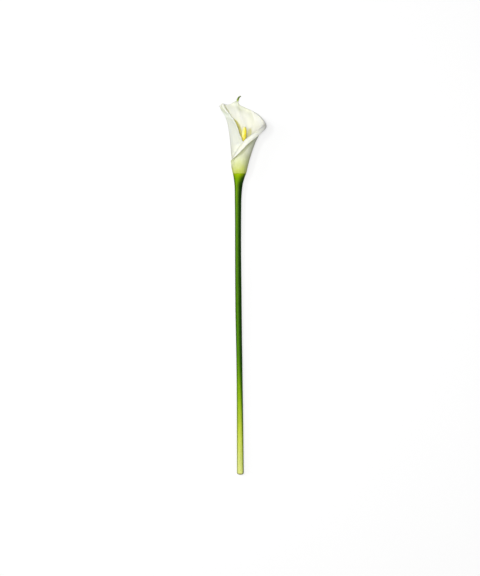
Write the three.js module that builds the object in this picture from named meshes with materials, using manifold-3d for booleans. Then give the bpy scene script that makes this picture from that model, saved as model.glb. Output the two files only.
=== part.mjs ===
// A cut calla lily lying on a flat surface, its flower turned up.
// Millimetres, +Z up, +Y along the stem towards the flower. The origin is on the surface,
// under the middle of the whole flower.

import * as THREE from 'three';
import Module from 'manifold-3d';

const wasm = await Module();
wasm.setup();

const DEG = Math.PI / 180;

// Driving dimensions

const STEM_LENGTH = 483;
const STEM_DIAMETER = 9.6;
const CUT_END_DIAMETER = 10.8;
const CUT_END_DOME = 3.6;
const STEM_TOP_DIAMETER = 20.9;
const SPATHE_THICKNESS = 1.1;
const SPADIX_DIAMETER = 8;
const SPADIX_TOP = 74.4;
const SEAT_GAP = 0.3;

// Where the flower grows from the stem. Places below are given from here: across, along the
// stem and above the surface.

const FLOWER_BASE_X = -5.3;
const FLOWER_BASE_Y = 178.8;

// The centre line that stem and flower share: it lies along the surface at the cut end and has
// climbed to this height and slope at the base of the flower.

const AXIS_HEIGHT = 27.2;
const AXIS_SLOPE = 0.09;
const CUT_END_HEIGHT = CUT_END_DIAMETER / 2 - 0.25;

/** Evenly spaced numbers from one value up to, but without, another. */
function spread(from, to, count) {
  return Array.from({ length: count }, (_, i) => from + (to - from) * i / count);
}

/** Monotone cubic curve through [x, y] keys, held at its end values outside them. */
function smoothCurve(keys) {
  const last = keys.length - 1;
  const spans = keys.slice(1).map((key, i) => key[0] - keys[i][0]);
  const slopes = spans.map((span, i) => (keys[i + 1][1] - keys[i][1]) / span);
  const tangents = keys.map((_, i) => {
    if (i === 0) return slopes[0];
    if (i === last) return slopes[last - 1];
    if (slopes[i - 1] * slopes[i] <= 0) return 0;
    const before = 2 * spans[i] + spans[i - 1];
    const after = spans[i] + 2 * spans[i - 1];
    return (before + after) / (before / slopes[i - 1] + after / slopes[i]);
  });
  return (value) => {
    const x = Math.min(Math.max(value, keys[0][0]), keys[last][0]);
    const next = keys.findIndex((key, i) => i > 0 && (x < key[0] || i === last));
    const i = next - 1;
    const t = (x - keys[i][0]) / spans[i];
    const start = (1 + 2 * t) * (1 - t) ** 2 * keys[i][1] + t * (1 - t) ** 2 * spans[i] * tangents[i];
    const end = t * t * (3 - 2 * t) * keys[next][1] + t * t * (t - 1) * spans[i] * tangents[next];
    return start + end;
  };
}

/** One closed body from rings of points in order, with a centre point at either end. */
function skin(rings, startCentre, endCentre) {
  const sides = rings[0].length;
  const points = [...rings.flat(), startCentre, endCentre];
  const startIndex = points.length - 2;
  const endIndex = points.length - 1;
  const lastRing = (rings.length - 1) * sides;
  const triangles = [];
  for (let i = 0; i < sides; i += 1) {
    const next = (i + 1) % sides;
    triangles.push([startIndex, i, next]);
    triangles.push([endIndex, lastRing + next, lastRing + i]);
    for (let row = 0; row < lastRing; row += sides) {
      triangles.push([row + i, row + sides + next, row + next]);
      triangles.push([row + i, row + sides + i, row + sides + next]);
    }
  }
  return { points, triangles };
}

function toGeometry({ points, triangles }) {
  const geometry = new THREE.BufferGeometry();
  const coordinates = points.flatMap((point) => point.toArray());
  geometry.setAttribute('position', new THREE.Float32BufferAttribute(coordinates, 3));
  geometry.setIndex(triangles.flat());
  geometry.computeVertexNormals();
  return geometry;
}

/** Two closed bodies joined into one. */
function union(first, second) {
  const [a, b] = [first, second].map(({ points, triangles }) => new wasm.Manifold(new wasm.Mesh({
    numProp: 3,
    vertProperties: new Float32Array(points.flatMap((point) => point.toArray())),
    triVerts: new Uint32Array(triangles.flat()),
  })));
  const mesh = a.add(b).getMesh();
  const geometry = new THREE.BufferGeometry();
  geometry.setAttribute('position', new THREE.BufferAttribute(mesh.vertProperties, 3));
  geometry.setIndex(new THREE.BufferAttribute(mesh.triVerts, 1));
  geometry.computeVertexNormals();
  return geometry;
}

// The stem: a fleshy round stalk with soft ribs that swells into the base of the flower.

const STEM_SIDES = 24;
const STEM_RIBS = 8;
const STEM_RIB_DEPTH = 0.1;
const STEM_ROW_LENGTH = 24;
const DOME_ANGLES = [25, 50, 72];
const RESTING_LENGTH = 18;
const NECK_ROWS = [-60, -50, -42, -35, -29, -24, -20, -16, -12, -9, -6, -3, -SEAT_GAP];

const stemSway = smoothCurve([
  [-STEM_LENGTH, 1.4], [-400, 0.9], [-310, 0], [-210, -1.5], [-105, -2.2], [-45, -2.2],
  [-20, -1.5], [-8, -0.7], [0, 0],
]);
const stemDiameter = smoothCurve([
  [-STEM_LENGTH, CUT_END_DIAMETER], [-420, 10.3], [-310, 9.4], [-210, 10], [-105, STEM_DIAMETER],
  [-45, 10.3], [-30, 11.2], [-20, 12.5], [-8, 16.6], [-SEAT_GAP, STEM_TOP_DIAMETER],
]);

/** Height of the stem's centre line above the surface, a gentle arc. */
function stemHeight(y) {
  const along = (STEM_LENGTH + y) / STEM_LENGTH;
  const climb = AXIS_HEIGHT - CUT_END_HEIGHT;
  const startClimb = 2 * climb - AXIS_SLOPE * STEM_LENGTH;
  return CUT_END_HEIGHT + startClimb * along + (climb - startClimb) * along ** 2;
}

function stemRing(y, scale) {
  const halfSide = Math.PI / STEM_SIDES;
  return spread(halfSide, halfSide + 2 * Math.PI, STEM_SIDES).map((turn) => {
    const radius = scale * (stemDiameter(y) / 2 + STEM_RIB_DEPTH * Math.cos(STEM_RIBS * turn));
    const height = stemHeight(y) - radius * Math.cos(turn);
    return new THREE.Vector3(stemSway(y) + radius * Math.sin(turn), y, Math.max(0, height));
  });
}

function stemBody() {
  const dome = DOME_ANGLES.map((angle) => {
    const depth = CUT_END_DOME * (1 - Math.cos(angle * DEG));
    return stemRing(depth - STEM_LENGTH, Math.sin(angle * DEG));
  });
  const shaftStart = CUT_END_DOME - STEM_LENGTH;
  const resting = [shaftStart, shaftStart + RESTING_LENGTH / 2];
  const archStart = shaftStart + RESTING_LENGTH;
  const archRows = Math.round((NECK_ROWS[0] - archStart) / STEM_ROW_LENGTH);
  const arch = spread(archStart, NECK_ROWS[0], archRows);
  const rings = [...dome, ...[...resting, ...arch, ...NECK_ROWS].map((y) => stemRing(y, 1))];
  const startCentre = new THREE.Vector3(stemSway(-STEM_LENGTH), -STEM_LENGTH, CUT_END_HEIGHT);
  const endCentre = new THREE.Vector3(stemSway(-SEAT_GAP), -SEAT_GAP, stemHeight(-SEAT_GAP));
  return skin(rings, startCentre, endCentre);
}

// The spathe: one thick white leaf rolled round the spadix like a paper cone. Its place round
// the axis is an angle, 0 at the back, which lies on the surface, 90 on the right and 180 at the
// front. The roll starts inside, at -250, and its outer layer ends on the left, at 330.
// Each row is: angle, height of the crest above the base, length of the lip that rolls over
// outward from the crest, and how far that lip turns.

const RIM = [
  [-250, 3, 0.8, 0],
  [-220, 20, 0.8, 0],
  [-192, 39.5, 1, 4],
  [-172, 54, 1.8, 20],
  [-158, 65.2, 2, 60],
  [-142, 82.6, 2.4, 80],
  [-135, 89.2, 3, 105],
  [-128.5, 98.2, 4.2, 145],
  [-125, 105, 5.4, 168],
  [-120, 109.8, 5.6, 178],
  [-110, 112.2, 5, 180],
  [-98, 111.2, 4.2, 170],
  [-82, 110.6, 3.8, 150],
  [-60, 111.2, 3.4, 115],
  [-42, 110.5, 2.2, 75],
  [-33, 111.6, 1.9, 62],
  [-28, 113.2, 1.6, 54],
  [-23, 114.9, 1.5, 48],
  [-18, 116.2, 1.5, 45],
  [-15, 113.6, 1.5, 45],
  [-12, 110.4, 1.5, 45],
  [-4, 107.4, 1.8, 48],
  [15, 101.4, 2.2, 60],
  [30, 96.3, 2.5, 74],
  [45, 90.2, 3.1, 88],
  [60, 84.3, 3.8, 102],
  [75, 79.2, 5.2, 120],
  [90, 75.8, 6.9, 144],
  [110, 71.8, 9.3, 165],
  [130, 66.4, 11.2, 172],
  [150, 59.1, 12, 175],
  [167, 52.4, 12.6, 172],
  [180, 44.6, 13, 167],
  [190, 38, 12.4, 160],
  [205, 30.8, 10.8, 156],
  [222, 24.8, 7.4, 138],
  [238, 21, 3.8, 85],
  [255, 17.8, 2.2, 35],
  [285, 12.5, 1.6, 15],
  [330, 3, 1, 5],
];
const crestHeight = smoothCurve(RIM.map(([angle, height]) => [angle, height]));
const lipLength = smoothCurve(RIM.map(([angle, , length]) => [angle, length]));
const lipTurn = smoothCurve(RIM.map(([angle, , , turn]) => [angle, turn]));

// The funnel's radius by height, and what each side adds to it as it flares above FLARE_START.

const funnelRadius = smoothCurve([
  [0, 9.1], [6, 10.6], [12, 11.9], [22, 13.6], [38, 17], [60, 21.8], [78, 25.2], [90, 28],
  [110, 34.6], [125, 40.4],
]);
const flare = smoothCurve([
  [-250, 0], [-180, 0.5], [-90, 0.9], [-50, 1.2], [0, 2.2], [30, 3.2], [85, 6], [120, 4.9],
  [180, 2.3], [210, 0.9], [330, 0],
]);
const FLARE_START = 50;
const FLARE_SPAN = 27;
const FLARE_POWER = 1.3;

// Towards the tip the left side swells and folds flat over the back, as far as leftFold says at
// each height.

const leftSwell = smoothCurve([
  [82, 0], [88, 0.5], [93, 0.9], [97, 1.8], [101, 2.9], [105, 3.4], [109, 1.6], [113, -1],
]);
const swellShare = smoothCurve([[-155, 0], [-130, 1], [-80, 1], [-45, 0]]);
const leftFold = smoothCurve([
  [36, 0], [45, 0.12], [52, 0.28], [60, 0.44], [67, 0.54], [76, 0.68], [85, 0.84], [91, 0.9],
  [97, 0.9], [103, 0.85], [120, 0.83],
]);
const foldShare = smoothCurve([[-190, 0], [-155, 1], [-50, 1], [0, 0.4], [45, 0]]);

// The funnel leans a little to the right as it rises, and each full turn of the leaf lies this
// much outside the last.

const funnelLean = smoothCurve([
  [0, 0.4], [12, 0.6], [24, 1.7], [38, 3.2], [50, 5], [65, 6.8], [80, 7.6], [120, 8],
]);
const ROLL_PITCH = 1.8;

// A soft raised midrib runs down inside the back from the tip.

const MIDRIB_ANGLE = -13;
const MIDRIB_HEIGHT = 1.1;
const MIDRIB_LEFT_WIDTH = 9;
const MIDRIB_RIGHT_WIDTH = 22;
const MIDRIB_START = 40;
const MIDRIB_FULL = 105;

const SPATHE_BASE_THICKNESS = 1.3;
const SPATHE_EDGE_THICKNESS = 0.8;
const SETTLE_SOFTNESS = 1;
const CONTACT_GAP = 0.06;
const WALL_ROWS = 12;
const WALL_ROW_CROWDING = 1.3;
const LIP_ROWS = 6;
const COLUMN_RUNS = [[-250, 6], [-148, 2.8], [-106, 6], [-34, 3], [2, 6], [330, 6]];
const LIP_STEPS = 24;
const PROBE = 0.01;

/** How far the midrib stands in from the funnel. */
function midrib(angle, height) {
  const away = angle - MIDRIB_ANGLE;
  const width = away < 0 ? MIDRIB_LEFT_WIDTH : MIDRIB_RIGHT_WIDTH;
  const growth = THREE.MathUtils.smoothstep(height, MIDRIB_START, MIDRIB_FULL);
  return MIDRIB_HEIGHT * growth * Math.exp(-((away / width) ** 2));
}

/** A point on the middle of the funnel's wall. */
function wallPoint(angle, height) {
  const flared = flare(angle) * Math.max(0, (height - FLARE_START) / FLARE_SPAN) ** FLARE_POWER;
  const swell = flared + leftSwell(height) * swellShare(angle);
  const radius = funnelRadius(height) + swell + ROLL_PITCH * angle / 360 - midrib(angle, height);
  const back = AXIS_HEIGHT + AXIS_SLOPE * height - radius;
  const depth = 1 - leftFold(height) * foldShare(angle);
  return new THREE.Vector3(
    funnelLean(height) + radius * Math.sin(angle * DEG),
    height,
    back + radius * (1 - Math.cos(angle * DEG)) * depth,
  );
}

/** A point on the lip, which leaves the crest in line with the wall and rolls outward. */
function lipPoint(angle, along) {
  const crest = wallPoint(angle, crestHeight(angle));
  const onward = wallPoint(angle + PROBE, crestHeight(angle + PROBE))
    .sub(wallPoint(angle - PROBE, crestHeight(angle - PROBE)))
    .normalize();
  const upward = wallPoint(angle, crestHeight(angle) + PROBE).sub(crest);
  const outward = upward.cross(onward).normalize();
  const rise = onward.clone().cross(outward);
  const step = along / LIP_STEPS;
  const point = crest.clone();
  for (let i = 0; i < LIP_STEPS; i += 1) {
    const turned = lipTurn(angle) * DEG * (1 - (1 - (i + 0.5) * step) ** 2);
    point.addScaledVector(rise, lipLength(angle) * step * Math.cos(turned));
    point.addScaledVector(outward, lipLength(angle) * step * Math.sin(turned));
  }
  return point;
}

/** Half the leaf's thickness: fleshy at the base and thin at the lip's edge. */
function halfThickness(along) {
  if (along > 1) return THREE.MathUtils.lerp(SPATHE_THICKNESS, SPATHE_EDGE_THICKNESS, along - 1) / 2;
  return THREE.MathUtils.lerp(SPATHE_BASE_THICKNESS, SPATHE_THICKNESS, Math.min(1, along * 3)) / 2;
}

/** Height of the leaf's middle after it has settled on the surface under the back. */
function settle(height, clearance) {
  const low = clearance - SETTLE_SOFTNESS;
  if (height <= low) return clearance;
  if (height >= clearance + SETTLE_SOFTNESS) return height;
  return clearance + (height - low) ** 2 / (4 * SETTLE_SOFTNESS);
}

/** The middle of the leaf: along is 0 at the base, 1 at the crest and 2 at the lip's edge. */
function leafPoint(angle, along) {
  const point = along > 1 ? lipPoint(angle, along - 1) : wallPoint(angle, crestHeight(angle) * along);
  point.z = settle(point.z, halfThickness(along));
  return point;
}

function leafNormal(angle, along) {
  const before = Math.max(0, along - PROBE);
  const after = Math.min(2, along + PROBE);
  const upward = leafPoint(angle, after).sub(leafPoint(angle, before));
  const onward = leafPoint(angle + PROBE, along).sub(leafPoint(angle - PROBE, along));
  return upward.cross(onward).normalize();
}

/** Angles of the leaf's columns: each run starts at an angle and goes on in steps of its own. */
function leafColumns() {
  const starts = COLUMN_RUNS.slice(0, -1).flatMap(([start, step], i) => {
    const end = COLUMN_RUNS[i + 1][0];
    return spread(start, end, Math.round((end - start) / step));
  });
  return [...starts, COLUMN_RUNS[COLUMN_RUNS.length - 1][0]];
}

function leafRows() {
  const wall = spread(0, 1, WALL_ROWS).map((along) => 1 - (1 - along) ** WALL_ROW_CROWDING);
  return [...wall, ...spread(1, 2, LIP_ROWS), 2];
}

/** The rolled leaf as one closed body: an outer and an inner face joined round the edge. */
function leafBody() {
  const columns = leafColumns();
  const rows = leafRows();
  const face = (side) => columns.flatMap((angle) => rows.map((along) => {
    const offset = leafNormal(angle, along).multiplyScalar(side * halfThickness(along));
    const point = leafPoint(angle, along).add(offset);
    if (point.z < CONTACT_GAP) point.z = 0;
    point.y = Math.max(0, point.y);
    return point;
  }));
  const points = [...face(1), ...face(-1)];
  const inner = columns.length * rows.length;
  const lastRow = rows.length - 1;
  const lastColumn = columns.length - 1;
  const at = (column, row) => column * rows.length + row;
  const triangles = [];
  const edge = (a, b) => triangles.push([a, b, b + inner], [a, b + inner, a + inner]);
  for (let column = 0; column < lastColumn; column += 1) {
    for (let row = 0; row < lastRow; row += 1) {
      const [a, b] = [at(column, row), at(column + 1, row)];
      const [c, d] = [at(column + 1, row + 1), at(column, row + 1)];
      triangles.push([a, c, b], [a, d, c]);
      triangles.push([a + inner, b + inner, c + inner], [a + inner, c + inner, d + inner]);
    }
    edge(at(column, 0), at(column + 1, 0));
    edge(at(column + 1, lastRow), at(column, lastRow));
  }
  for (let row = 0; row < lastRow; row += 1) {
    edge(at(0, row + 1), at(0, row));
    edge(at(lastColumn, row), at(lastColumn, row + 1));
  }
  return { points, triangles };
}

// The spathe's tip ends in a short green hooked tail. Each row is: place across, along and
// above the surface, and radius.

const TAIL = [
  [-2.6, 108, 0.6, 0.3],
  [-3.1, 112.5, 1, 0.9],
  [-3.2, 116.8, 1.5, 1.45],
  [-2.8, 119.6, 1.6, 1.35],
  [-1.5, 122.2, 1.9, 1.1],
  [0.5, 124.2, 2.2, 0.85],
  [2.5, 125.1, 2.4, 0.45],
];
const TAIL_SIDES = 10;
const TAIL_ROWS = 14;

function tailBody() {
  const path = new THREE.CatmullRomCurve3(TAIL.map(([x, y, z]) => new THREE.Vector3(x, y, z)));
  const radii = smoothCurve(TAIL.map(([, , , radius], i) => [i / (TAIL.length - 1), radius]));
  const up = new THREE.Vector3(0, 0, 1);
  const rings = [...spread(0, 1, TAIL_ROWS), 1].map((along) => {
    const centre = path.getPoint(along);
    const across = path.getTangent(along).cross(up).normalize();
    const radius = radii(along);
    return spread(0, 2 * Math.PI, TAIL_SIDES).map((turn) => centre.clone()
      .addScaledVector(across, radius * Math.sin(turn))
      .addScaledVector(up, -radius * Math.cos(turn)));
  });
  const end = path.getPoint(1).addScaledVector(path.getTangent(1), radii(1) * 0.7);
  return skin(rings, path.getPoint(0), end);
}

// The spadix: a fleshy finger standing in the funnel, covered in tiny staggered flowers.

const SPADIX_SIDES = 26;
const SPADIX_ROWS = 60;
const FLORET_RELIEF = 0.22;
const SPADIX_LEAN = 1.13;
const SPADIX_LIFT = 5;

const spadixRadius = smoothCurve([
  [0, 3.3], [8, 3.8], [30, SPADIX_DIAMETER / 2], [50, SPADIX_DIAMETER / 2], [66, 3.6], [71, 2.8],
  [73.4, 1.6], [SPADIX_TOP, 0.5],
]);

function spadixBody() {
  const centre = (y) => {
    const lift = SPADIX_LIFT * (y / SPADIX_TOP) ** 2;
    return new THREE.Vector3(SPADIX_LEAN * funnelLean(y), y, AXIS_HEIGHT + AXIS_SLOPE * y + lift);
  };
  const rings = [...spread(0, 1, SPADIX_ROWS), 1].map((along, row) => {
    const y = SPADIX_TOP * Math.sin(along * Math.PI / 2);
    const relief = FLORET_RELIEF * spadixRadius(y) / (SPADIX_DIAMETER / 2);
    return spread(0, 2 * Math.PI, SPADIX_SIDES).map((turn, side) => {
      const radius = spadixRadius(y) + relief * (-1) ** (row + side);
      return centre(y).add(new THREE.Vector3(radius * Math.sin(turn), 0, -radius * Math.cos(turn)));
    });
  });
  return skin(rings, centre(0), centre(SPADIX_TOP + FLORET_RELIEF));
}

function piece(name, geometry, colour, roughness) {
  const material = new THREE.MeshStandardMaterial({ color: colour, roughness, metalness: 0 });
  const mesh = new THREE.Mesh(geometry, material);
  mesh.name = name;
  return mesh;
}

const callaLily = new THREE.Group();
callaLily.position.set(FLOWER_BASE_X, FLOWER_BASE_Y, 0);
callaLily.add(
  piece('stem', toGeometry(stemBody()), 0x5a8a1c, 0.5),
  piece('spathe', union(leafBody(), tailBody()), 0xf3f2e2, 0.55),
  piece('spadix', toGeometry(spadixBody()), 0xf0c400, 0.8),
);

export default callaLily;
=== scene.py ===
import math

import bmesh
import bpy
import numpy as np
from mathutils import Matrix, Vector
from mathutils.kdtree import KDTree


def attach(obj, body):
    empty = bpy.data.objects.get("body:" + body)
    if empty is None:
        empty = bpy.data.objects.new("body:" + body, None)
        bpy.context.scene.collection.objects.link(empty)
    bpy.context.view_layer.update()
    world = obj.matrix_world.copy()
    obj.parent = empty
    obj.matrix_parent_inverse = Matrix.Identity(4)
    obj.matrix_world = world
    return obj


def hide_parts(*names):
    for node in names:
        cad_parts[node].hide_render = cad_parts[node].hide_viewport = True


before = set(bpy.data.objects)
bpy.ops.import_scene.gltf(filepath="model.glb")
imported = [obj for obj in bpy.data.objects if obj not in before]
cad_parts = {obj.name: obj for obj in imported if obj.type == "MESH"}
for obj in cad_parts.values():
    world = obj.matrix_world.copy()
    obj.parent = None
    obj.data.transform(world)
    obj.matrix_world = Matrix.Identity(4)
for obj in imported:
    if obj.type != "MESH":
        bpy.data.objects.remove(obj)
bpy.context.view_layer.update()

# A cut calla lily lying on a pale surface, its flower turned up. Blender's unit is the metre,
# so the sizes below, which are in millimetres as in the part's own source, are scaled by MM
# when a mesh is made. Places on the flower are given from its base: across, along the stem and
# above the surface. A pair of numbers whose name ends in FADE says where a change starts and
# where it is complete.

MM = 0.001

STEM_LENGTH = 483
STEM_DIAMETER = 9.6
CUT_END_DIAMETER = 10.8
CUT_END_DOME = 3.6
CUT_END_FLATTENING = 0.25
STEM_TOP_DIAMETER = 20.9
SPATHE_THICKNESS = 1.1
SPADIX_DIAMETER = 8
SPADIX_TOP = 74.4
FLOWER_BASE = (-5.3, 178.8, 0)
AXIS_HEIGHT = 27.2
AXIS_SLOPE = 0.09
CUT_END_HEIGHT = CUT_END_DIAMETER / 2 - CUT_END_FLATTENING


# Curves and meshes

def smooth_curve(keys):
    """Monotone cubic curve through (x, y) keys, held at its end values outside them."""
    xs, ys = (np.array(column, float) for column in zip(*keys))
    spans = np.diff(xs)
    slopes = np.diff(ys) / spans
    tangents = np.zeros(len(xs))
    tangents[0] = slopes[0]
    tangents[-1] = slopes[-1]
    for i in range(1, len(xs) - 1):
        if slopes[i - 1] * slopes[i] > 0:
            before = 2 * spans[i] + spans[i - 1]
            after = spans[i] + 2 * spans[i - 1]
            tangents[i] = (before + after) / (before / slopes[i - 1] + after / slopes[i])

    def curve(value):
        x = np.clip(np.asarray(value, float), xs[0], xs[-1])
        i = np.clip(np.searchsorted(xs, x, side="right") - 1, 0, len(xs) - 2)
        t = (x - xs[i]) / spans[i]
        start = (1 + 2 * t) * (1 - t) ** 2 * ys[i] + t * (1 - t) ** 2 * spans[i] * tangents[i]
        end = t * t * (3 - 2 * t) * ys[i + 1] + t * t * (t - 1) * spans[i] * tangents[i + 1]
        return start + end
    return curve


def smooth_step(value, low, high):
    t = np.clip((value - low) / (high - low), 0, 1)
    return t * t * (3 - 2 * t)


def unit(vectors):
    return vectors / np.maximum(np.linalg.norm(vectors, axis=-1, keepdims=True), 1e-12)


def around_circle(sides):
    return np.linspace(0, 2 * np.pi, sides, endpoint=False)


def make_piece(name, points, faces, node):
    """A smooth mesh object from points in millimetres from the flower's base."""
    mesh = bpy.data.meshes.new(name)
    mesh.from_pydata(((points + np.array(FLOWER_BASE)) * MM).tolist(), [], faces.tolist())
    mesh.validate()
    mesh.shade_smooth()
    piece = bpy.data.objects.new(name, mesh)
    bpy.context.collection.objects.link(piece)
    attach(piece, "root")
    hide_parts(node)
    return piece


def add_attribute(piece, name, values):
    """Store one number a point on the piece's mesh."""
    attribute = piece.data.attributes.new(name, "FLOAT", "POINT")
    attribute.data.foreach_set("value", np.asarray(values, np.float32).ravel())


def tube_faces(rows, sides):
    """Quads round a tube of rows rings, in the order that faces them outward."""
    row, side = np.meshgrid(np.arange(rows - 1), np.arange(sides), indexing="ij")
    here = row * sides
    onward = (side + 1) % sides
    quads = [here + side, here + sides + side, here + sides + onward, here + onward]
    return np.stack(quads, -1).reshape(-1, 4)


def close_ends(piece):
    """Fill the open rings at the two ends of a tube."""
    mesh = bmesh.new()
    mesh.from_mesh(piece.data)
    edges = [edge for edge in mesh.edges if edge.is_boundary]
    bmesh.ops.holes_fill(mesh, edges=edges, sides=0)
    bmesh.ops.recalc_face_normals(mesh, faces=mesh.faces)
    mesh.to_mesh(piece.data)
    mesh.free()
    piece.data.shade_smooth()


# Stem. Places along it are negative, from the flower's base back to the cut end.

STEM_SIDES = 96
STEM_RIBS = 8
STEM_RIB_DEPTH = 0.1
STEM_LUMPS = 3
STEM_LUMP_DEPTH = 0.05
DOME_ROWS = 14
SHAFT_ROWS = 210
SHAFT_END = -70
HEAD_ROWS = 90
HEAD_SPAN = (-69, -0.1)
STEM_TOP = -0.05
TOP_RING_SCALES = [0.97, 0.02]
stem_sway = smooth_curve([
    (-STEM_LENGTH, 1.4), (-400, 0.9), (-310, 0), (-210, -1.5), (-105, -2.2), (-45, -2.2),
    (-20, -1.5), (-8, -0.7), (0, 0),
])
stem_diameter = smooth_curve([
    (-STEM_LENGTH, CUT_END_DIAMETER), (-420, 10.3), (-310, 9.4), (-210, 10),
    (-105, STEM_DIAMETER), (-45, 10.3), (-30, 11.2), (-20, 12.5), (-8, 16.6),
    (-0.3, STEM_TOP_DIAMETER),
])

# Painted shade round the stem, in place of the light's fall-off: how far across, from -1 on the
# left to 1 on the right, it starts and where it is full, and how dark the painted shade on the
# left edge is.
stem_painted_shade_from = smooth_curve([
    (-STEM_LENGTH, 0.4), (-410, 0.25), (-362, 0), (-300, -0.55), (-60, -0.75), (-20, -0.85),
    (-8, -0.4), (0, 0),
])
stem_painted_shade_to = smooth_curve([
    (-STEM_LENGTH, 1), (-410, 0.95), (-362, 0.8), (-300, 0.6), (-20, 0.5), (-8, 0.8), (0, 1.2),
])
left_edge_painted_shade = smooth_curve([
    (-STEM_LENGTH, 0.4), (-400, 0.6), (-300, 0.8), (-20, 0.8), (0, 0.25),
])
LEFT_EDGE_FADE = (-0.95, -0.5)


def stem_height(y):
    """Height of the stem's centre line above the surface, a gentle arc."""
    along = (STEM_LENGTH + y) / STEM_LENGTH
    climb = AXIS_HEIGHT - CUT_END_HEIGHT
    start_climb = 2 * climb - AXIS_SLOPE * STEM_LENGTH
    return CUT_END_HEIGHT + start_climb * along + (climb - start_climb) * along ** 2


def make_stem():
    dome = np.radians(np.linspace(2, 88, DOME_ROWS))
    dome_y = -STEM_LENGTH + CUT_END_DOME * (1 - np.cos(dome))
    shaft_y = np.concatenate([
        np.linspace(CUT_END_DOME - STEM_LENGTH, SHAFT_END, SHAFT_ROWS),
        np.linspace(*HEAD_SPAN, HEAD_ROWS),
    ])
    y = np.concatenate([dome_y, shaft_y, [STEM_TOP] * len(TOP_RING_SCALES)])[:, None]
    scale = np.concatenate([np.sin(dome), np.ones(len(shaft_y)), TOP_RING_SCALES])[:, None]
    turn = around_circle(STEM_SIDES)
    ribs = STEM_RIB_DEPTH * np.cos(STEM_RIBS * turn)
    lumps = STEM_LUMP_DEPTH * np.sin(STEM_LUMPS * turn + 1)
    radius = scale * (stem_diameter(y) / 2 + (ribs + lumps))
    x = stem_sway(y) + radius * np.sin(turn)
    z = np.maximum(0, stem_height(y) - radius * np.cos(turn))
    points = np.stack([x, np.broadcast_to(y, x.shape), z], -1).reshape(-1, 3)
    piece = make_piece("stem_fine", points, tube_faces(len(y), STEM_SIDES), "stem")
    # Painted shade: darker toward the stem's right side and along its left edge
    side = np.broadcast_to(np.sin(turn), x.shape)
    painted_shade = smooth_step(side, stem_painted_shade_from(y), stem_painted_shade_to(y))
    painted_left_edge = (1 - smooth_step(side, *LEFT_EDGE_FADE)) * left_edge_painted_shade(y)
    add_attribute(piece, "painted_shade", np.maximum(painted_shade, painted_left_edge))
    close_ends(piece)
    return piece


# Spathe: one thick leaf rolled like a paper cone. Its place round the axis is an angle in
# degrees, 0 at the back, 90 on the right and 180 at the front. Each row is: angle, height of the
# crest, length of the lip that rolls over from it, and how far that lip turns.

RIM = [
    (-250, 3, 0.8, 0),
    (-220, 20, 0.8, 0),
    (-192, 39.5, 1, 4),
    (-172, 54, 1.8, 20),
    (-158, 65.2, 2, 60),
    (-142, 82.6, 2.4, 80),
    (-135, 89.2, 3, 105),
    (-128.5, 97.4, 4, 140),
    (-125, 103, 4.9, 160),
    (-120, 107.8, 5.2, 174),
    (-110, 111.9, 5, 180),
    (-98, 108.8, 3.8, 166),
    (-82, 108.4, 3.3, 145),
    (-60, 110.6, 3.2, 112),
    (-42, 110.5, 2.2, 75),
    (-33, 111.6, 1.9, 62),
    (-28, 113.2, 1.6, 54),
    (-23, 114.9, 1.5, 48),
    (-18, 116.2, 1.5, 45),
    (-15, 113.6, 1.5, 45),
    (-12, 110.4, 1.5, 45),
    (-4, 107.4, 1.8, 48),
    (15, 101.4, 2.2, 60),
    (30, 96.3, 2.5, 74),
    (45, 90.2, 3.1, 88),
    (60, 84.3, 3.8, 102),
    (75, 79.2, 5.2, 120),
    (90, 75.8, 6.9, 144),
    (110, 71.8, 9.3, 165),
    (130, 66.4, 11.2, 172),
    (150, 59.1, 12, 175),
    (167, 52.4, 12.6, 172),
    (180, 44.6, 13, 167),
    (190, 38, 12.4, 160),
    (205, 30.4, 10.6, 155),
    (222, 23.4, 6.8, 134),
    (238, 17, 3.2, 75),
    (255, 12.8, 1.5, 26),
    (285, 9.6, 0.9, 10),
    (330, 3, 1, 5),
]
crest_height, lip_length, lip_turn = (
    smooth_curve([(row[0], row[column]) for row in RIM]) for column in (1, 2, 3))

# The funnel under the rim. The keys of flare, swell_share and fold_share are angles, and those
# of the other curves are heights.
funnel_radius = smooth_curve([
    (0, 9.1), (6, 10.6), (12, 11.9), (22, 13.6), (38, 17), (60, 21.8), (78, 25.2), (90, 28),
    (110, 34.6), (125, 40.4),
])
flare = smooth_curve([
    (-250, 0), (-180, 0.5), (-90, 0.9), (-50, 1.2), (0, 2.2), (30, 3.2), (85, 6), (120, 4.9),
    (180, 2.3), (210, 0.9), (330, 0),
])
funnel_lean = smooth_curve([
    (0, 0.4), (12, 0.6), (24, 1.7), (38, 3.2), (50, 5), (65, 6.8), (80, 7.6), (120, 8),
])
left_fold = smooth_curve([
    (36, 0), (45, 0.12), (52, 0.28), (60, 0.44), (67, 0.54), (76, 0.68), (85, 0.84), (91, 0.9),
    (97, 0.9), (103, 0.85), (120, 0.83),
])
left_swell = smooth_curve([
    (82, 0), (88, 0.5), (93, 0.9), (97, 1.8), (101, 2.9), (105, 3.4), (109, 1.6), (113, -1),
])
swell_share = smooth_curve([(-155, 0), (-130, 1), (-80, 1), (-45, 0)])
fold_share = smooth_curve([(-190, 0), (-155, 1), (-50, 1), (0, 0.4), (45, 0)])
FLARE_START = 50
FLARE_SPAN = 27
FLARE_POWER = 1.3
ROLL_PITCH = 1.8
MIDRIB_ANGLE = -13
MIDRIB_HEIGHT = 1.1
MIDRIB_LEFT_WIDTH = 9
MIDRIB_RIGHT_WIDTH = 22
MIDRIB_FADE = (40, 105)

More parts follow.
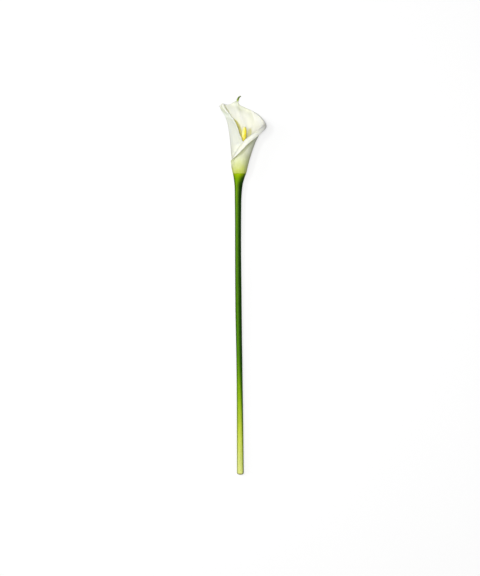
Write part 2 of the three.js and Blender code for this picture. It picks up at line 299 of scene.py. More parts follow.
# Soft folds of the open limb: a ridge and a crease, each at a place across for every height
ridge_line = smooth_curve([(60, 9), (76, 6.3), (87, 3.6), (97, 0), (104, -2.8), (112, -5.6)])
crease_line = smooth_curve([
    (60, 24), (68, 24.1), (80.8, 23.8), (92, 21.4), (101.6, 16.8), (108, 12),
])
RIDGE_RISE = 0.6
RIDGE_WIDTH = 3.6
CREASE_DEPTH = 0.55
CREASE_LEFT_WIDTH = 4
CREASE_RIGHT_WIDTH = 1.6
FOLD_HEIGHT_FADE = (56, 72)
FOLD_CREST_FADE = (0.5, 7)
FOLD_SIDE_FADE = (60, 85)

# The leaf's sheet and its mesh
SPATHE_BASE_THICKNESS = 1.3
SPATHE_EDGE_THICKNESS = 0.8
THINNING_RATE = 3
EDGE_ROUNDING = 0.45
MOST_ROUNDING = 0.45
LEAST_EDGE_SQUARED = 0.0004
SETTLE_SOFTNESS = 1
LEAF_START, TIP_START, TIP_END, LEAF_END = -250, -34, 2, 330
LEFT_COLUMNS, TIP_COLUMNS, RIGHT_COLUMNS = 120, 46, 182
WALL_ROWS = 78
LIP_ROWS = 26
EDGE_ROWS = 5
LIP_STEPS = 96
PROBE = 0.02

# Painted shadows that the leaf's material adds on the outer face: one under the lap, where the
# rolled lip's shadow falls, and one under the rolled corner, each between two angles. Both fade
# out downward from the lip's foot, over a width that goes by angle, and the corner's also fades in
# with height.
LAP_ANGLES = (95, 250)
CORNER_ANGLES = (-150, -60)
tuck_width = smooth_curve([
    (-150, 3), (-120, 5), (-60, 5), (100, 3.6), (150, 5), (170, 5.8), (190, 3.8), (222, 1.6),
    (250, 0.6),
])
TUCK_FADE = (0.55, 1.1)
LAP_SHADE_FADE = (98, 160)
LAP_SHADE_END_FADE = (212, 244)
CORNER_SHADE = 0.55
CORNER_SHADE_FADE = (92, 99)

# On the inner face a painted warm shadow: the flank edge's, in the dark wedge left of the spadix,
# and the spadix's own, in a spot beside it
wedge_edge = smooth_curve([
    (60, 4.5), (68, 3.3), (72.8, 2), (77.6, 0.2), (81.6, -2.3), (85.6, -5.5), (88.8, -10.3),
    (92, -17), (95, -19), (98.4, -16.4), (104, -19.8), (111, -24.2),
])
WEDGE_SIDE_FADE = (-1, 1.8)
SPOT_ACROSS = 16.2
SPOT_HEIGHT = 65
SPOT_LEAN = 0.12
SPOT_HALF_WIDTH = 3.5
SPOT_HALF_HEIGHT = 9
SPOT_FADE = (0.6, 1.2)
SPOT_SHADE = 0.6
SHADOW_FADE = (46, 56)
SHADOW_END_FADE = (86, 92)
SHADOW_RETURN = 0.5
SHADOW_RETURN_FADE = (97, 100)

# On the inner face a painted cool shade, in a band left of the crease and over the limb's top
DUSK_WIDTH = 7
DUSK_BAND = 0.75
DUSK_BAND_FADE = (68, 98)
DUSK_CREASE_FADE = (0, 1.6)
DUSK_TOP_FADE = (95, 108)
DUSK_LEFT = 0.3
DUSK_LEFT_FADE = (-9, -2)
DUSK_RIGHT_FADE = (9, 18)


def midrib(angle, height):
    """How far the midrib stands in from the funnel."""
    away = angle - MIDRIB_ANGLE
    width = np.where(away < 0, MIDRIB_LEFT_WIDTH, MIDRIB_RIGHT_WIDTH)
    return MIDRIB_HEIGHT * smooth_step(height, *MIDRIB_FADE) * np.exp(-(away / width) ** 2)


def wall_points(angle, height):
    """Points on the middle of the funnel's wall."""
    flared = flare(angle) * np.maximum(0, (height - FLARE_START) / FLARE_SPAN) ** FLARE_POWER
    swell = flared + left_swell(height) * swell_share(angle)
    radius = funnel_radius(height) + swell + ROLL_PITCH * angle / 360 - midrib(angle, height)
    turn = np.radians(angle)
    depth = 1 - left_fold(height) * fold_share(angle)
    return np.stack([
        funnel_lean(height) + radius * np.sin(turn),
        height + 0 * angle,
        AXIS_HEIGHT + AXIS_SLOPE * height - radius + radius * (1 - np.cos(turn)) * depth,
    ], -1)


def lip_points(angles, lip_rows):
    """Points on the lip, which leaves the crest in line with the wall and rolls outward."""
    crest = wall_points(angles, crest_height(angles))
    after = wall_points(angles + PROBE, crest_height(angles + PROBE))
    before = wall_points(angles - PROBE, crest_height(angles - PROBE))
    onward = unit(after - before)
    upward = wall_points(angles, crest_height(angles) + PROBE) - crest
    outward = unit(np.cross(upward, onward))
    rise = np.cross(onward, outward)
    steps = (np.arange(LIP_STEPS) + 0.5) / LIP_STEPS
    turned = np.radians(lip_turn(angles))[:, None] * (1 - (1 - steps) ** 2)[None, :]
    travel = lip_length(angles)[:, None] / LIP_STEPS
    stations = np.linspace(0, 1, LIP_STEPS + 1)

    def reached(part):
        """How far the lip has gone one way, at each of its rows."""
        lines = np.cumsum(np.pad(part(turned) * travel, ((0, 0), (1, 0))), axis=1)
        return np.stack([np.interp(row, stations, line) for row, line in zip(lip_rows, lines)])
    lifted = reached(np.cos)[..., None] * rise[:, None]
    spread = reached(np.sin)[..., None] * outward[:, None]
    return crest[:, None] + lifted + spread


def limb_folds(across, height, angle, below_crest):
    """Rise of the soft folds that run up the open limb from the throat."""
    ridge = RIDGE_RISE * np.exp(-((across - ridge_line(height)) / RIDGE_WIDTH) ** 2)
    away = across - crease_line(height)
    width = np.where(away < 0, CREASE_LEFT_WIDTH, CREASE_RIGHT_WIDTH)
    crease = CREASE_DEPTH * np.exp(-(away / width) ** 2)
    open_part = smooth_step(height, *FOLD_HEIGHT_FADE) * smooth_step(below_crest, *FOLD_CREST_FADE)
    return (ridge - crease) * open_part * (1 - smooth_step(np.abs(angle), *FOLD_SIDE_FADE))


def leaf_columns():
    """Angles of the leaf's columns, closer together where it draws in to its tip."""
    return np.concatenate([
        np.linspace(LEAF_START, TIP_START, LEFT_COLUMNS, endpoint=False),
        np.linspace(TIP_START, TIP_END, TIP_COLUMNS, endpoint=False),
        np.linspace(TIP_END, LEAF_END, RIGHT_COLUMNS),
    ])


def leaf_lip_rows(angles):
    """Places along the lip, 1 at its edge, and the share of it that the edge's rounding takes."""
    edge = np.minimum(EDGE_ROUNDING / lip_length(angles), MOST_ROUNDING)[:, None]
    roll = np.linspace(0, 1, LIP_ROWS + 1)[None, 1:] * (1 - edge)
    cap = 1 - edge * (1 - np.sin(np.linspace(0, np.pi / 2, EDGE_ROWS + 1)[None, 1:]))
    return np.concatenate([roll, cap], axis=1), edge


def leaf_middle(angles, wall_rows, lip_rows):
    """The surface midway between the leaf's two faces."""
    heights = crest_height(angles)[:, None]
    up = heights * wall_rows[None, :]
    wall = wall_points(angles[:, None], up)
    wall[..., 2] += limb_folds(wall[..., 0], up, angles[:, None], heights - up)
    return np.concatenate([wall, lip_points(angles, lip_rows)], axis=1)


def leaf_thickness(wall_rows, lip_rows, edge):
    """The leaf's thickness with its edge rounded off, and the same before the rounding."""
    toward_base = SPATHE_THICKNESS - SPATHE_BASE_THICKNESS
    base = SPATHE_BASE_THICKNESS + toward_base * np.minimum(1, wall_rows * THINNING_RATE)
    wall = np.broadcast_to(base, (len(lip_rows), len(wall_rows)))
    lip = SPATHE_THICKNESS + (SPATHE_EDGE_THICKNESS - SPATHE_THICKNESS) * lip_rows
    from_edge = np.clip((1 - lip_rows) / edge, 0, 1)
    rounded = lip * np.sqrt(np.maximum(1 - (1 - from_edge) ** 2, LEAST_EDGE_SQUARED))
    return [np.concatenate([wall, part], axis=1) for part in (rounded, lip)]


def settle(height, clearance):
    """Height of the leaf's middle after it has settled on the surface under the back."""
    low = clearance - SETTLE_SOFTNESS
    bent = clearance + (height - low) ** 2 / (4 * SETTLE_SOFTNESS)
    settled = np.where(height <= low, clearance, bent)
    return np.where(height >= clearance + SETTLE_SOFTNESS, height, settled)


def leaf_faces(columns, rows):
    """Quads of the leaf's outer face, inner face and edge all round."""
    column, row = np.meshgrid(np.arange(columns - 1), np.arange(rows - 1), indexing="ij")
    here = (column * rows + row).ravel()
    outer = np.stack([here, here + 1, here + rows + 1, here + rows], -1)
    back = columns * rows
    inner = np.stack([here, here + rows, here + rows + 1, here + 1], -1) + back

    def border(start, end):
        return np.stack([start, end, end + back, start + back], -1)
    across = np.arange(columns - 1) * rows
    up = np.arange(rows - 1)
    last = (columns - 1) * rows
    return np.concatenate([
        outer,
        inner,
        border(across, across + rows),
        border(across + rows + rows - 1, across + rows - 1),
        border(up + 1, up),
        border(last + up, last + up + 1),
    ])


def tuck_shade(angles, outer, first, last):
    """Painted shadow on the wall's outer face just under the rolled lip, 1 at the lip's foot."""
    chosen = np.flatnonzero((angles > first) & (angles < last))
    lip = outer[chosen, WALL_ROWS:, :2].reshape(-1, 2)
    tree = KDTree(len(lip))
    for i, (x, y) in enumerate(lip):
        tree.insert((x, y, 0), i)
    tree.balance()
    shade = np.zeros((len(angles), WALL_ROWS))
    for i in chosen:
        away = np.array([tree.find((x, y, 0))[2] for x, y in outer[i, :WALL_ROWS, :2]])
        shade[i] = 1 - smooth_step(away / tuck_width(angles[i]), *TUCK_FADE)
    return shade


def tucked_shade(angles, outer):
    """The painted shadows under the lap and the corner, for the whole outer face."""
    along_lap = smooth_step(angles, *LAP_SHADE_FADE)
    along_lap = along_lap * (1 - smooth_step(angles, *LAP_SHADE_END_FADE))
    lap = tuck_shade(angles, outer, *LAP_ANGLES) * along_lap[:, None]
    corner = tuck_shade(angles, outer, *CORNER_ANGLES)
    corner *= smooth_step(outer[:, :WALL_ROWS, 1], *CORNER_SHADE_FADE)
    shade = np.zeros(outer.shape[:2])
    shade[:, :WALL_ROWS] = lap + CORNER_SHADE * corner
    return shade


def painted_throat_shadow(across, height):
    """Painted warm shadow on the inner face: the wedge left of the spadix and the spot beside it.
    """
    wedge = 1 - smooth_step(across - wedge_edge(height), *WEDGE_SIDE_FADE)
    lean = across - SPOT_ACROSS - SPOT_LEAN * (height - SPOT_HEIGHT)
    from_spot = np.hypot(lean / SPOT_HALF_WIDTH, (height - SPOT_HEIGHT) / SPOT_HALF_HEIGHT)
    spot = 1 - smooth_step(from_spot, *SPOT_FADE)
    returning = 1 - SHADOW_RETURN * smooth_step(height, *SHADOW_RETURN_FADE)
    painted_shadow = np.maximum(wedge, SPOT_SHADE * spot) * smooth_step(height, *SHADOW_FADE)
    painted_shadow *= 1 - smooth_step(height, *SHADOW_END_FADE) * returning
    painted_shadow[:, WALL_ROWS:] = 0
    return painted_shadow


def limb_shade_mask(across, height):
    """Painted cool shade on the inner face: the band left of the crease and the limb's top."""
    away = across - crease_line(height)
    band = np.exp(-(np.minimum(away, 0) / DUSK_WIDTH) ** 2)
    band *= (1 - smooth_step(away, *DUSK_CREASE_FADE)) * smooth_step(height, *DUSK_BAND_FADE)
    toward_right = DUSK_LEFT + (1 - DUSK_LEFT) * smooth_step(across, *DUSK_LEFT_FADE)
    top = smooth_step(height, *DUSK_TOP_FADE) * toward_right
    top *= 1 - smooth_step(across, *DUSK_RIGHT_FADE)
    return np.maximum(DUSK_BAND * band, top)


def make_spathe():
    angles = leaf_columns()
    wall_rows = np.linspace(0, 1, WALL_ROWS)
    lip_rows, edge = leaf_lip_rows(angles)
    middle = leaf_middle(angles, wall_rows, lip_rows)
    rounded, whole = leaf_thickness(wall_rows, lip_rows, edge)
    middle[..., 2] = settle(middle[..., 2], whole / 2)
    normal = unit(np.cross(np.gradient(middle, axis=1), np.gradient(middle, axis=0)))
    half = rounded[..., None] / 2
    outer = middle + normal * half
    inner = middle - normal * half
    outer[..., 2] = np.maximum(outer[..., 2], 0)
    for face in (outer, inner):
        face[..., 1] = np.maximum(face[..., 1], 0)
    points = np.concatenate([outer.reshape(-1, 3), inner.reshape(-1, 3)])
    shape = rounded.shape
    piece = make_piece("spathe_fine", points, leaf_faces(*shape), "spathe")

    along = np.concatenate([np.broadcast_to(wall_rows, (len(angles), WALL_ROWS)), 1 + lip_rows], 1)
    around = angles[:, None]
    across, height = inner[..., 0], inner[..., 1]
    for name, outside, inside in (
        ("inside", 0, 1),
        ("along", along, along),
        ("around", around, around),
        ("painted_lip_shadow", tucked_shade(angles, outer), 0),
        ("painted_shadow", 0, painted_throat_shadow(across, height)),
        ("painted_limb_shade", 0, limb_shade_mask(across, height)),
    ):
        values = [np.broadcast_to(value, shape) for value in (outside, inside)]
        add_attribute(piece, name, np.stack(values))
    return piece


# The green tail past the leaf's tip: across, along, above and radius, from base to end

TAIL = [
    (-2.6, 108, 0.6, 0.3), (-3.1, 112.5, 1, 0.9), (-3.2, 116.8, 1.5, 1.6),
    (-2.7, 119.6, 1.6, 1.6), (-1.4, 122.2, 1.9, 1.35), (0.5, 124.2, 2.2, 1.05),
    (2.5, 125.1, 2.4, 0.55),
]
TAIL_SIDES = 36
TAIL_ROWS = 120
TAIL_LUMPS = 3
TAIL_LUMP_DEPTH = 0.05
TAIL_ROUNDED_FROM = 0.965
TAIL_ROUNDED_SHARE = 0.035
TAIL_LEAST_END = 0.002
TAIL_CLEARANCE = 0.02


def make_tail():
    station = np.linspace(0, 1, len(TAIL))
    at = np.linspace(0, 1, TAIL_ROWS)
    *centre, radius = (smooth_curve(list(zip(station, column)))(at) for column in zip(*TAIL))
    centre = np.stack(centre, -1)
    ahead = unit(np.gradient(centre, axis=0))
    aside = unit(np.cross(ahead, np.array([0, 0, 1.0])))
    above = np.cross(aside, ahead)
    turn = around_circle(TAIL_SIDES)
    past = ((at - TAIL_ROUNDED_FROM) / TAIL_ROUNDED_SHARE).clip(0, 1)
    end_round = np.sqrt(np.clip(1 - past ** 2, TAIL_LEAST_END, 1))
    lumps = 1 + TAIL_LUMP_DEPTH * np.cos(TAIL_LUMPS * turn + 0.6)
    reach = (radius * end_round)[:, None] * lumps[None, :]
    turn = turn[None, :, None]
    ring = np.cos(turn) * aside[:, None] + np.sin(turn) * above[:, None]
    points = centre[:, None] + reach[..., None] * ring
    points[..., 2] = np.maximum(points[..., 2], TAIL_CLEARANCE)
    faces = tube_faces(TAIL_ROWS, TAIL_SIDES)
    piece = make_piece("tail_fine", points.reshape(-1, 3), faces, "spathe")
    close_ends(piece)
    return piece


# Spadix: a finger covered with small florets, set round it in a spiral by the golden angle

SPADIX_SIDES = 168
SPADIX_ROWS = 420
SPADIX_LEAN = 1.13
SPADIX_LIFT = 5
SPADIX_STEPS = 2000
SPADIX_FOOT = (FLOWER_BASE[1] + 50) * MM
SPADIX_FOOT_FADE = 0.014
FLORET_AREA = 1.05
FLORET_WIDTH = 1.15
FLORET_HEIGHT = 0.36
FLORET_SEED = 4
FLORET_LEAST = 0.8
FLORET_VARIATION = 0.35
FLORET_SINK = 0.65
FULL_RELIEF_RADIUS = 2.6
LEAST_RELIEF = 0.3
GOLDEN_ANGLE = math.pi * (3 - math.sqrt(5))
spadix_radius = smooth_curve([
    (0, 3.3), (8, 3.8), (30, SPADIX_DIAMETER / 2), (50, SPADIX_DIAMETER / 2), (66, 3.6),
    (71, 2.8), (73.4, 1.6), (SPADIX_TOP, 0.5),
])


def spadix_points(y, turn, relief):
    radius = spadix_radius(y) + relief
    lift = SPADIX_LIFT * (y / SPADIX_TOP) ** 2
    return np.stack([
        SPADIX_LEAN * funnel_lean(y) + radius * np.sin(turn),
        y + 0 * turn,
        AXIS_HEIGHT + AXIS_SLOPE * y + lift - radius * np.cos(turn),
    ], -1)


def make_spadix():
    line = np.linspace(0, SPADIX_TOP, SPADIX_STEPS)
    radius = spadix_radius(line)
    step = np.hypot(np.diff(line), np.diff(radius))
    travelled = np.concatenate([[0], np.cumsum(step)])
    covered = np.concatenate([[0], np.cumsum(step * 2 * np.pi * radius[1:])])
    florets = np.arange(0, covered[-1] / FLORET_AREA)
    floret_y = np.interp(florets * FLORET_AREA, covered, line)
    centres = spadix_points(floret_y, florets * GOLDEN_ANGLE, 0)
    tree = KDTree(len(centres))
    for i, centre in enumerate(centres):
        tree.insert(centre, i)
    tree.balance()

    y = np.interp(np.linspace(0, travelled[-1], SPADIX_ROWS), travelled, line)[:, None]
    turn = around_circle(SPADIX_SIDES)[None, :]
    smooth = spadix_points(y, turn, 0).reshape(-1, 3)
    found = [tree.find(point)[1:] for point in smooth]
    nearest = np.array([index for index, _ in found])
    away = np.array([distance for _, distance in found]) / (FLORET_WIDTH / 2)
    bead = np.sqrt(np.clip(1 - away ** 2, 0, 1))
    size = np.random.default_rng(FLORET_SEED).uniform(0, 1, len(centres))[nearest]
    fade = np.clip(spadix_radius(y) / FULL_RELIEF_RADIUS, LEAST_RELIEF, 1)
    raised = bead * (FLORET_LEAST + FLORET_VARIATION * size) - FLORET_SINK
    relief = FLORET_HEIGHT * fade * raised.reshape(SPADIX_ROWS, -1)
    points = spadix_points(y, turn, relief).reshape(-1, 3)
    piece = make_piece("spadix_fine", points, tube_faces(SPADIX_ROWS, SPADIX_SIDES), "spadix")
    add_attribute(piece, "bead", bead)
    add_attribute(piece, "size", size)
    add_attribute(piece, "side", np.broadcast_to(np.sin(turn), (SPADIX_ROWS, SPADIX_SIDES)))
    close_ends(piece)
    return piece


# Materials

def colour(red, green, blue):
    """A display colour, 0 to 255 a channel, as Blender's linear one."""
    channels = [value / 255 for value in (red, green, blue)]
    linear = [c / 12.92 if c <= 0.04045 else ((c + 0.055) / 1.055) ** 2.4 for c in channels]
    return (*linear, 1)


class Finish:
    """A material under construction. Most of its methods add a node and return its output."""

    def __init__(self, name, settings):
        self.material = bpy.data.materials.new(name)
        self.material.use_nodes = True
        self.tree = self.material.node_tree
        self.shader = self.tree.nodes["Principled BSDF"]
        for socket, value in settings.items():
            self.shader.inputs[socket].default_value = value
        self.place = self.add("ShaderNodeTexCoord", {}, {}).outputs["Object"]

    def add(self, kind, settings, inputs):
        node = self.tree.nodes.new(kind)
        for name, value in settings.items():
            setattr(node, name, value)
        for socket, value in inputs.items():
            if isinstance(value, bpy.types.NodeSocket):
                self.tree.links.new(value, node.inputs[socket])
            else:
                node.inputs[socket].default_value = value
        return node

    def attribute(self, name):
        return self.add("ShaderNodeAttribute", {"attribute_name": name}, {}).outputs["Fac"]

    def axis(self, name):
        return self.add("ShaderNodeSeparateXYZ", {}, {0: self.place}).outputs[name]

    def maths(self, operation, a, b):
        return self.add("ShaderNodeMath", {"operation": operation}, {0: a, 1: b}).outputs[0]

    def product(self, a, b):
        return self.maths("MULTIPLY", a, b)

    def vector(self, x, y, z):
        return self.add("ShaderNodeCombineXYZ", {}, {0: x, 1: y, 2: z}).outputs[0]

    def scaled(self, scale):
        """The place on the piece, in metres, scaled differently along each axis."""
        return self.add("ShaderNodeMapping", {}, {"Vector": self.place, "Scale": scale}).outputs[0]

    def range(self, value, start, end, low=0.0, high=1.0, smooth=False):
        mode = {"interpolation_type": "SMOOTHSTEP" if smooth else "LINEAR"}
        inputs = {
            "Value": value, "From Min": start, "From Max": end, "To Min": low, "To Max": high,
        }
        return self.add("ShaderNodeMapRange", mode, inputs).outputs[0]

    def noise(self, vector, scale, detail=2.0, roughness=0.5):
        inputs = {"Vector": vector, "Scale": scale, "Detail": detail, "Roughness": roughness}
        return self.add("ShaderNodeTexNoise", {}, inputs).outputs["Fac"]

    def mix(self, factor, a, b, blend="MIX"):
        mode = {"data_type": "RGBA", "blend_type": blend}
        return self.add("ShaderNodeMix", mode, {0: factor, 6: a, 7: b}).outputs[2]

    def tinted(self, factor, base, *tint):
        """The base, multiplied by a display colour as far as factor says."""
        return self.mix(factor, base, colour(*tint), "MULTIPLY")

    def ramp(self, value, start, end, stops):
        """Colours at places along a value, each stop a place and a display colour."""
        node = self.add("ShaderNodeValToRGB", {}, {0: self.range(value, start, end)})
        elements = node.color_ramp.elements
        elements.remove(elements[1])
        for i, (place, shade) in enumerate(stops):
            where = (place - start) / (end - start)
            element = elements[0] if i == 0 else elements.new(where)
            element.position = where
            element.color = colour(*shade)
        return node.outputs["Color"]

    def bump(self, height, distance, strength=1.0, under=None):
        inputs = {"Height": height, "Distance": distance, "Strength": strength}
        if under is not None:
            inputs["Normal"] = under
        return self.add("ShaderNodeBump", {}, inputs).outputs[0]

    def finish(self, piece, base, roughness, normal):
        for socket, value in (("Base Color", base), ("Roughness", roughness), ("Normal", normal)):
            self.tree.links.new(value, self.shader.inputs[socket])
        piece.data.materials.clear()
        piece.data.materials.append(self.material)


# Grain of the noise, in waves a metre, but the veins' goes by the angle round the leaf and by the
# share of the way up it. Depths of the bumps, in metres.
STEM_WANDER_GRAIN = (90, 12, 90)
STEM_STREAK_GRAIN = (1500, 25, 1500)
STEM_MOTTLE_GRAIN = (300, 160, 300)
STEM_PORE_GRAIN = 2200
STEM_STREAK_DEPTH = 0.00012
LEAF_WANDER_GRAIN = (120, 60, 120)
LEAF_CLOUD_GRAIN = 60
LEAF_CELL_GRAIN = 1800
LEAF_VEIN_DEPTH = 0.0002
VEIN_GRAIN_AROUND = 0.22
VEIN_GRAIN_ALONG = 1.3
PORE_DEPTH = 0.00003
FLORET_PATCH_GRAIN = 420
POLLEN_GRAIN = 3500
POLLEN_DEPTH = 0.0001

# Display colours along the stem, in metres in the frame: a painted lit copy and a painted shaded
# copy of the skin
STEM_SPAN = (-0.304, 0.18)
STEM_PAINTED_LIT = [
    (-0.304, (228, 231, 138)), (-0.292, (220, 225, 130)), (-0.262, (209, 219, 102)),
    (-0.232, (194, 209, 64)), (-0.184, (146, 182, 14)), (-0.152, (113, 159, 4)),
    (-0.104, (84, 140, 2)), (-0.024, (80, 132, 4)), (0.096, (90, 142, 4)),
    (0.148, (112, 160, 6)), (0.171, (122, 166, 0)), (0.179, (166, 192, 8)),
]
STEM_PAINTED_SHADE = [
    (-0.304, (118, 134, 20)), (-0.262, (98, 120, 10)), (-0.232, (76, 102, 0)),
    (-0.184, (46, 88, 0)), (-0.12, (18, 56, 0)), (-0.024, (12, 50, 0)), (0.12, (14, 52, 0)),
    (0.158, (6, 36, 0)), (0.171, (26, 56, 0)), (0.178, (72, 98, 0)),
]
WANDER_END_FADE = (0.17, 0.13)
CUT_RIM_FADE = (-0.3015, -0.3026)
CUT_FACE_FADE = (-0.3033, -0.3039)

# Display colours up the leaf, by height in millimetres: its tip, its outer face, the outer face
# on the flattened left flank, the inner face and the inner face near the rim
LEAF_SPAN = (0, 125)
LEAF_TIP = [
    (112, (242, 243, 228)), (115.5, (224, 227, 206)), (117, (196, 206, 150)),
    (118.2, (154, 178, 0)), (119.5, (128, 154, 0)), (122, (100, 122, 0)), (125, (106, 118, 10)),
]
LEAF_OUTER = [
    (0, (184, 198, 58)), (5, (203, 212, 112)), (12, (212, 218, 150)), (22, (222, 227, 182)),
    (28, (222, 225, 192)), (38, (238, 240, 222)), (50, (235, 238, 223)), (62, (230, 233, 219)),
    (84, (225, 229, 217)), (100, (223, 227, 216)),
]
LEAF_FLANK = [
    (0, (190, 207, 76)), (10, (220, 226, 162)), (20, (236, 238, 212)), (38, (236, 238, 220)),
    (50, (236, 239, 224)), (62, (231, 234, 221)), (84, (225, 229, 217)), (100, (223, 227, 216)),
]
LEAF_THROAT = [
    (0, (186, 198, 60)), (24, (206, 212, 84)), (40, (230, 230, 140)), (54, (244, 243, 208)),
    (64, (248, 248, 232)), (96, (248, 248, 231)),
]
LEAF_RIM = [
    (0, (226, 232, 156)), (12, (232, 235, 200)), (22, (231, 232, 211)), (40, (228, 229, 208)),
    (60, (241, 242, 226)), (80, (250, 250, 236)),
]


def paint_stem(piece):
    skin = Finish("stem_skin", {
        "IOR": 1.4, "Specular IOR Level": 0.1, "Subsurface Weight": 0.08,
        "Subsurface Scale": 0.0015, "Subsurface Radius": (0.7, 1.0, 0.2),
    })
    y = skin.axis("Y")
    wander = skin.range(skin.noise(skin.scaled(STEM_WANDER_GRAIN), 1), 0.3, 0.7, -0.012, 0.012)
    level = skin.maths("ADD", y, skin.product(wander, skin.range(y, *WANDER_END_FADE)))
    # The skin goes from its painted lit copy to its painted shaded copy round the stem, as the
    # painted shade says
    light, shaded = (skin.ramp(level, *STEM_SPAN, stops) for stops in (STEM_PAINTED_LIT, STEM_PAINTED_SHADE))
    painted_lit_and_shade = skin.mix(skin.attribute("painted_shade"), light, shaded)
    streaks = skin.noise(skin.scaled(STEM_STREAK_GRAIN), 1, 3)
    streak = skin.range(streaks, 0.35, 0.65, 0, 0.2)
    striped = skin.mix(streak, painted_lit_and_shade, colour(40, 88, 4))
    mottle = skin.noise(skin.scaled(STEM_MOTTLE_GRAIN), 1, 4, 0.6)
    mottled = skin.mix(skin.range(mottle, 0.55, 0.85, 0, 0.14), striped, colour(160, 190, 40))
    rim = skin.range(y, *CUT_RIM_FADE, smooth=True)
    face = skin.range(y, *CUT_FACE_FADE, smooth=True)
    rim_line = skin.product(rim, skin.maths("SUBTRACT", 1.0, face))
    edged = skin.mix(skin.product(rim_line, 0.3), mottled, colour(150, 124, 70))
    cut = skin.mix(face, edged, colour(240, 242, 146))
    pores = skin.bump(skin.noise(skin.place, STEM_PORE_GRAIN), PORE_DEPTH, 0.5)
    relief = skin.bump(streaks, STEM_STREAK_DEPTH, 0.7, pores)
    skin.finish(piece, cut, skin.range(mottle, 0.3, 0.7, 0.32, 0.48), relief)


def paint_spathe(piece):
    leaf = Finish("spathe_leaf", {
        "IOR": 1.4, "Specular IOR Level": 0.35, "Subsurface Weight": 0.5,
        "Subsurface Scale": 0.002, "Subsurface Radius": (1.0, 0.98, 0.8), "Sheen Weight": 0.03,
    })
    from_base = leaf.maths("SUBTRACT", leaf.axis("Y"), FLOWER_BASE[1] * MM)
    height = leaf.product(from_base, 1 / MM)
    wander = leaf.range(leaf.noise(leaf.scaled(LEAF_WANDER_GRAIN), 1), 0.3, 0.7, -3, 3)
    level = leaf.maths("ADD", height, leaf.product(wander, leaf.range(height, 112, 90)))
    inside = leaf.attribute("inside")
    around = leaf.attribute("around")
    along = leaf.attribute("along")

    outer = leaf.ramp(level, *LEAF_SPAN, LEAF_OUTER + LEAF_TIP)
    flank = leaf.ramp(level, *LEAF_SPAN, LEAF_FLANK + LEAF_TIP)
    outer = leaf.mix(leaf.range(around, -80, -115), outer, flank)
    # Painted shade on the tube's right side, where the light falls off
    before_lap = leaf.range(around, 168, 128, smooth=True)
    painted_right_shade = leaf.product(before_lap, leaf.range(around, 40, 80, smooth=True))
    outer = leaf.tinted(leaf.product(painted_right_shade, 0.8), outer, 216, 220, 206)
    # Painted shadow under the lap and under the rolled corner
    outer = leaf.tinted(leaf.attribute("painted_lip_shadow"), outer, 212, 214, 190)

    throat = leaf.ramp(height, *LEAF_SPAN, LEAF_THROAT + LEAF_TIP)
    near_rim = leaf.ramp(height, *LEAF_SPAN, LEAF_RIM + LEAF_TIP)
    inner = leaf.mix(leaf.range(along, 0.72, 1.0, smooth=True), throat, near_rim)
    # Painted light on the rolled lip's edge: near white where the curl turns from the light, a
    # plain cream on the lap
    painted_lit_lip_edge = leaf.product(leaf.range(along, 1.3, 1.8, smooth=True), leaf.range(around, 44, 66))
    on_lap = leaf.range(around, 105, 135)
    lit_edge_tone = leaf.mix(on_lap, colour(255, 255, 247), colour(240, 241, 224))
    inner = leaf.mix(painted_lit_lip_edge, inner, lit_edge_tone)
    # Painted warm shadow in the wedge and in the spot beside the spadix
    inner = leaf.tinted(leaf.attribute("painted_shadow"), inner, 236, 230, 140)
    # Painted cool shade left of the crease and over the limb's top
    inner = leaf.tinted(leaf.attribute("painted_limb_shade"), inner, 229, 231, 222)

    # Painted shade along the limb's rolled rim, where the curl turns from the light
    painted_rim_shade = leaf.product(leaf.range(along, 1.35, 1.8, smooth=True), leaf.range(around, 62, 36))
    painted_rim_shade = leaf.product(painted_rim_shade, leaf.range(around, -60, -35))
    lined = leaf.tinted(painted_rim_shade, leaf.mix(inside, outer, inner), 214, 218, 206)
    fan_around = leaf.product(around, VEIN_GRAIN_AROUND)
    fan = leaf.vector(fan_around, leaf.product(along, VEIN_GRAIN_ALONG), inside)
    veins = leaf.noise(fan, 1, 3, 0.55)
    veined = leaf.tinted(leaf.range(veins, 0.45, 0.75, 0, 0.14), lined, 230, 232, 212)
    clouds = leaf.noise(leaf.place, LEAF_CLOUD_GRAIN, 3)
    below_tip = leaf.range(height, 117, 113)
    pale_patches = leaf.product(leaf.range(clouds, 0.45, 0.75, 0, 0.12), below_tip)
    soft = leaf.mix(pale_patches, veined, colour(250, 249, 238))
    cells = leaf.bump(leaf.noise(leaf.place, LEAF_CELL_GRAIN), PORE_DEPTH, 0.4)
    relief = leaf.bump(veins, LEAF_VEIN_DEPTH, 0.5, cells)
    leaf.finish(piece, soft, leaf.range(clouds, 0.3, 0.7, 0.42, 0.55), relief)


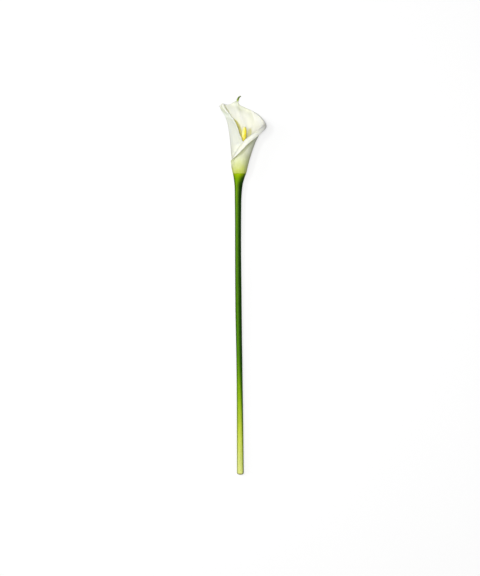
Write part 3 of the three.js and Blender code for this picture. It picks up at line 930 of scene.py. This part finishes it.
def paint_spadix(piece):
    pollen = Finish("spadix_florets", {
        "Specular IOR Level": 0.25, "Subsurface Weight": 0.25, "Subsurface Scale": 0.001,
        "Subsurface Radius": (0.9, 0.9, 0.3), "Sheen Weight": 0.1, "Sheen Roughness": 0.5,
    })
    bead = pollen.attribute("bead")
    size = pollen.attribute("size")
    # Painted light and shade round the spadix: paler on its left side, toward the light, richer
    # yellow on its right side
    side = pollen.range(pollen.attribute("side"), -0.5, 0.4, smooth=True)
    foot_end = SPADIX_FOOT + SPADIX_FOOT_FADE
    foot = pollen.range(pollen.axis("Y"), SPADIX_FOOT, foot_end, 1, 0, smooth=True)
    pale = pollen.mix(size, colour(252, 245, 150), colour(255, 252, 192))
    rich = pollen.mix(size, colour(240, 224, 0), colour(247, 235, 24))
    patchy = pollen.noise(pollen.place, FLORET_PATCH_GRAIN, 2)
    patches = pollen.range(patchy, 0.42, 0.62, -0.25, 0.3)
    richness_and_painted_shade = pollen.maths("MAXIMUM", pollen.maths("ADD", side, patches), foot)
    tone = pollen.mix(richness_and_painted_shade, pale, rich)
    # Painted shade: a darker, deeper yellow in the hollows between the florets
    painted_hollow_shade = pollen.mix(pollen.range(bead, 0.1, 0.7), colour(230, 210, 0), tone)
    grains = pollen.noise(pollen.place, POLLEN_GRAIN, 3, 0.7)
    dusted = pollen.mix(pollen.range(grains, 0.5, 0.72, 0, 0.35), painted_hollow_shade, colour(255, 250, 188))
    relief = pollen.bump(grains, POLLEN_DEPTH, 0.8)
    pollen.finish(piece, dusted, pollen.range(grains, 0.3, 0.7, 0.6, 0.85), relief)


# Surface, light and camera. The camera looks straight down, with the photo's framing. The
# column and row are where the frame's origin is in the photo. Each lamp is a name, its place,
# its size and its power.

PHOTO_WIDTH = 480
PHOTO_HEIGHT = 576
PIXEL = 1.6 * MM
ORIGIN_COLUMN = 242.78
ORIGIN_ROW = 285.25
LENS = 280
SENSOR = 36
VIEW_HEIGHT = 0.03
FLOOR_REACH = 8
FLOOR_DROP = 0.0001
FLOOR_GREY = 0.36
FLOOR_GLOW = 0.62
WORLD_GLOW = 0.24
LAMP_TARGET = (0, 0.1, 0.02)
LAMPS = [
    ("key", (-0.67, 0.2, 2.09), 0.35, 12),
    ("overhead", (-0.1, 0.14, 2.25), 0.3, 27.5),
    ("left_fill", (-1.5, 0.14, 1.0), 1.2, 7.5),
    ("right_fill", (1.3, -0.7, 0.9), 1.2, 1.8),
]


def make_floor():
    mesh = bpy.data.meshes.new("floor")
    reach = FLOOR_REACH
    corners = [(-reach, -reach), (reach, -reach), (reach, reach), (-reach, reach)]
    mesh.from_pydata([(x, y, -FLOOR_DROP) for x, y in corners], [], [(0, 1, 2, 3)])
    floor = bpy.data.objects.new("floor", mesh)
    bpy.context.collection.objects.link(floor)
    paper = bpy.data.materials.new("floor_paper")
    paper.use_nodes = True
    shader = paper.node_tree.nodes["Principled BSDF"]
    shader.inputs["Base Color"].default_value = (FLOOR_GREY, FLOOR_GREY, FLOOR_GREY, 1)
    shader.inputs["Emission Color"].default_value = (1, 1, 1, 1)
    shader.inputs["Emission Strength"].default_value = FLOOR_GLOW
    shader.inputs["Roughness"].default_value = 1
    shader.inputs["Specular IOR Level"].default_value = 0
    mesh.materials.append(paper)
    floor.visible_diffuse = False
    floor.visible_glossy = False


def make_light(name, place, size, power):
    light = bpy.data.lights.new(name, "AREA")
    light.shape = "DISK"
    light.size = size
    light.energy = power
    lamp = bpy.data.objects.new(name, light)
    lamp.location = place
    toward = Vector(place) - Vector(LAMP_TARGET)
    lamp.rotation_euler = toward.to_track_quat("Z", "Y").to_euler()
    bpy.context.collection.objects.link(lamp)


def make_light_and_camera():
    world = bpy.data.worlds.new("studio")
    world.use_nodes = True
    background = world.node_tree.nodes["Background"]
    background.inputs["Color"].default_value = (1, 1, 1, 1)
    background.inputs["Strength"].default_value = WORLD_GLOW
    bpy.context.scene.world = world
    for lamp in LAMPS:
        make_light(*lamp)

    camera = bpy.data.cameras.new("camera")
    camera.lens = LENS
    camera.sensor_width = SENSOR
    camera.sensor_fit = "AUTO"
    eye = bpy.data.objects.new("camera", camera)
    distance = PHOTO_HEIGHT * PIXEL * LENS / SENSOR
    across = (PHOTO_WIDTH / 2 - ORIGIN_COLUMN) * PIXEL
    up = (ORIGIN_ROW - PHOTO_HEIGHT / 2) * PIXEL
    eye.location = (across, up, distance + VIEW_HEIGHT)
    bpy.context.collection.objects.link(eye)
    bpy.context.scene.camera = eye
    bpy.context.scene.view_settings.view_transform = "Standard"


make_light_and_camera()
make_floor()
paint_stem(make_stem())
paint_spathe(make_spathe())
paint_spathe(make_tail())
paint_spadix(make_spadix())
